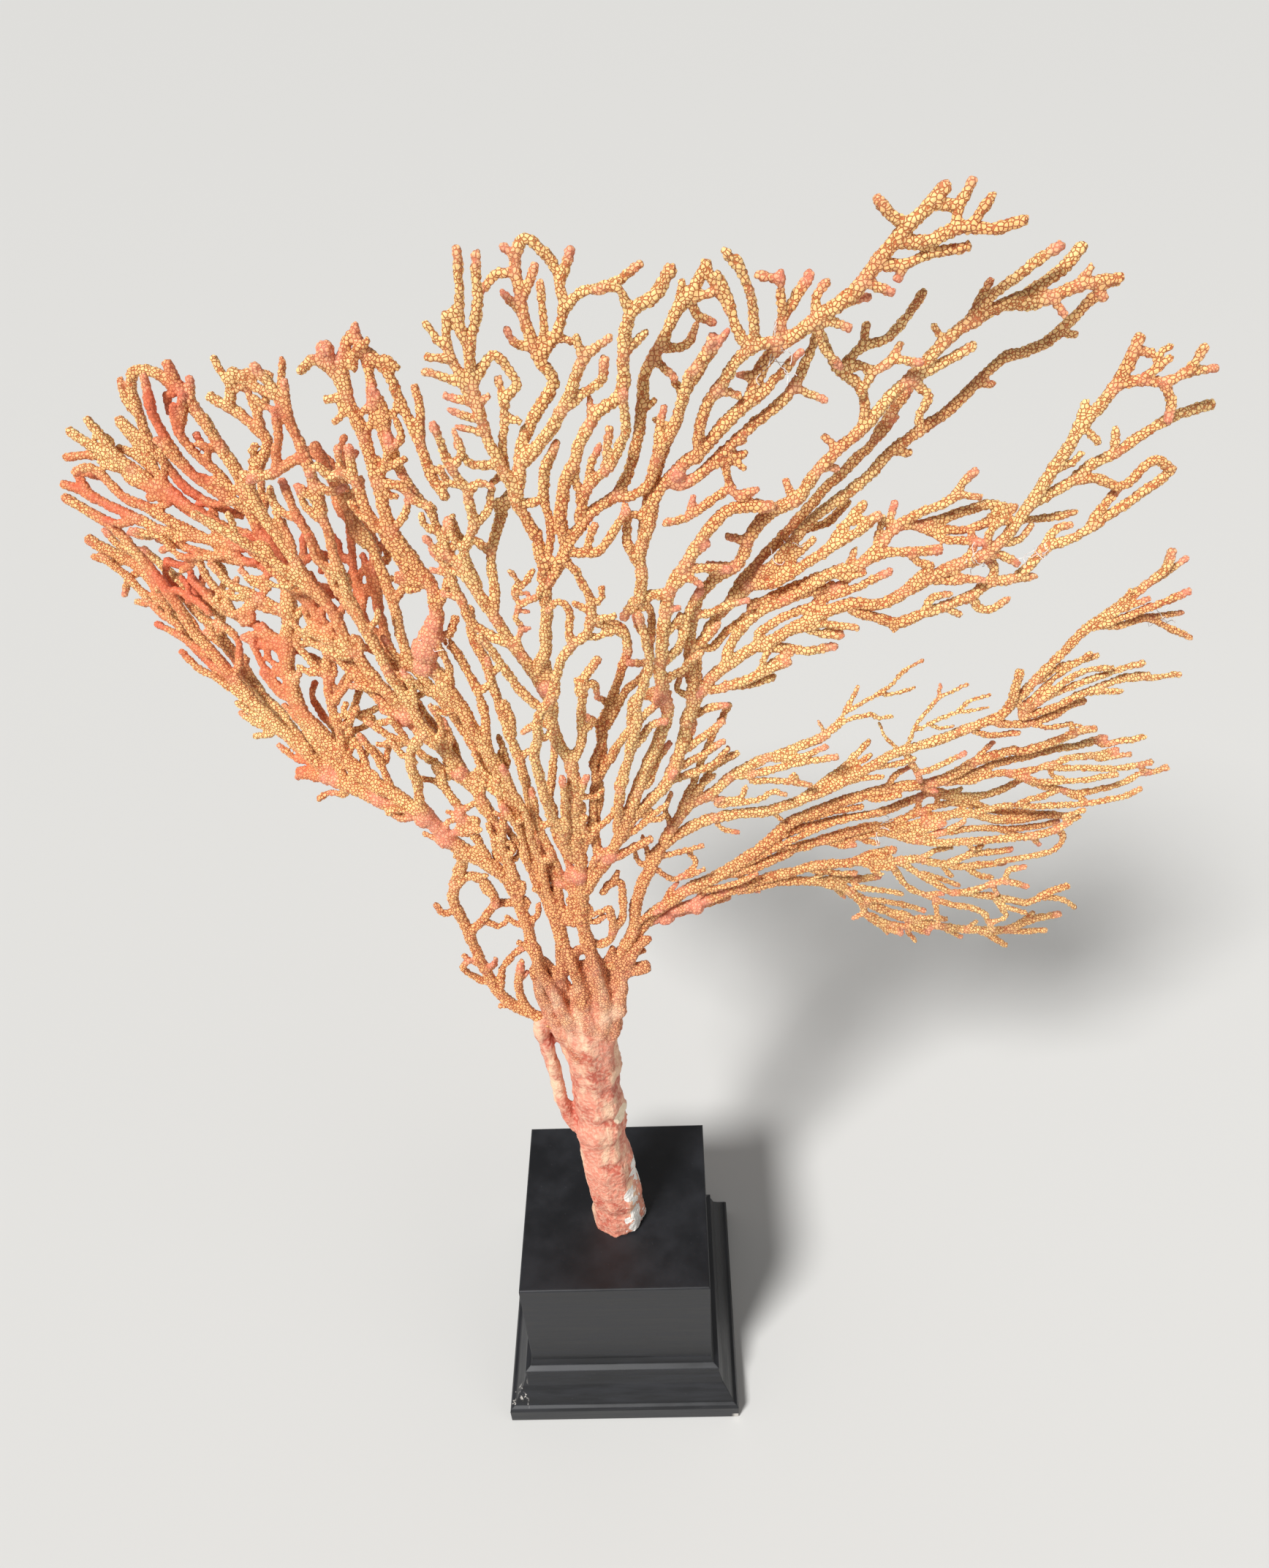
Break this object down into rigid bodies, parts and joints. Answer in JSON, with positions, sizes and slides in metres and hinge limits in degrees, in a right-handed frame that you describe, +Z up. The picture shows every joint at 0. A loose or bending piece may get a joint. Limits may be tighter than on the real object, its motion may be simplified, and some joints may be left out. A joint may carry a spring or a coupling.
{
  "type": "sea fan",
  "caption": "Dried, finely branched sea fan with an orange, bumpy surface, upright on a square black moulded wooden plinth.",
  "frame": {"origin": "middle of the plinth's square underside", "axes": "+Z up, -Y the front of the fan, +X to the right as seen from the front"},
  "size_m": [0.3594, 0.142, 0.4836],
  "materials": {
    "coral": "matte",
    "trunk": "matte",
    "plinth": "satin"
  },
  "bodies": {
    "root": {"plinth": "plinth", "trunk": "trunk", "left_loop": "coral", "wing_stem": "coral", "wing_edge": "coral", "wing_middle": "coral", "wing_crest": "coral", "wing_inner": "coral", "shoulder": "coral", "centre": "coral", "crown_left": "coral", "crown_tip": "coral", "crown_right": "coral", "right_stem": "coral", "crest_right": "coral", "reach_upper": "coral", "reach_lower": "coral", "long_upper": "coral", "long_lower": "coral", "low_upper": "coral", "low_long": "coral", "low_fan": "coral", "low_middle": "coral", "low_lower": "coral", "low_bottom": "coral"}
  },
  "joints": []
}
